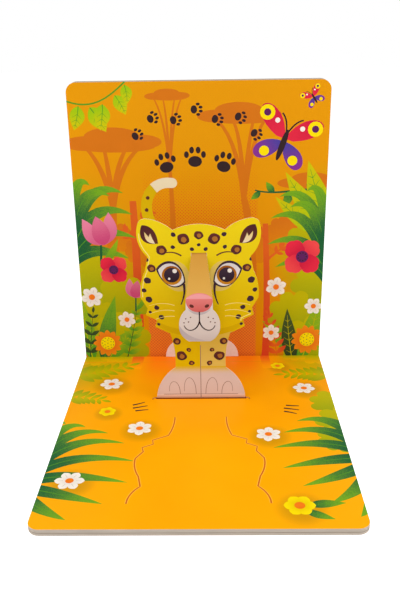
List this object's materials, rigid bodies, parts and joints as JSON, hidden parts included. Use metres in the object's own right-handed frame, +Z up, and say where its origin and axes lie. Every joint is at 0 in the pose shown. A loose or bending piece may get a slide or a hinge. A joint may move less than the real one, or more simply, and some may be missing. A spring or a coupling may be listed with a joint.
{
  "type": "pop-up book",
  "caption": "Board pop-up book opened at a right angle: one half lies flat, the other stands, and a folded card animal stands in a slit.",
  "frame": {"origin": "on the table, under the middle of the lying front cover board", "axes": "+X to the reader's right along the fold, +Y away from the reader from the lying half to the standing half, +Z up"},
  "size_m": [0.184, 0.2198, 0.214],
  "materials": {
    "cover": "satin printed board",
    "page": "satin printed paper",
    "leaf_edge": "cut board edge",
    "figure_card": "satin printed card",
    "paw_card": "satin printed card",
    "spine": "satin printed paper"
  },
  "bodies": {
    "front_half": {"front_cover": "cover", "lower_page": "page", "gutter_sheet": "page", "hinge_strip": "spine", "figure": "figure_card", "snout": "figure_card", "back_strap": "figure_card"},
    "rear_half": {"page_block": "leaf_edge", "back_cover": "cover", "spine_strip": "spine", "strap_flap": "page", "hind_paw_left": "paw_card", "hind_paw_right": "paw_card"}
  },
  "joints": [
    {"name": "cover_hinge", "type": "hinge", "parent": "front_half", "child": "rear_half", "pos_m": [0, 0.1085, 0.0055], "axis": [1, 0, 0], "range_deg": [0, 90], "deforming": ["figure", "snout", "back_strap", "gutter_sheet", "hinge_strip"]}
  ]
}
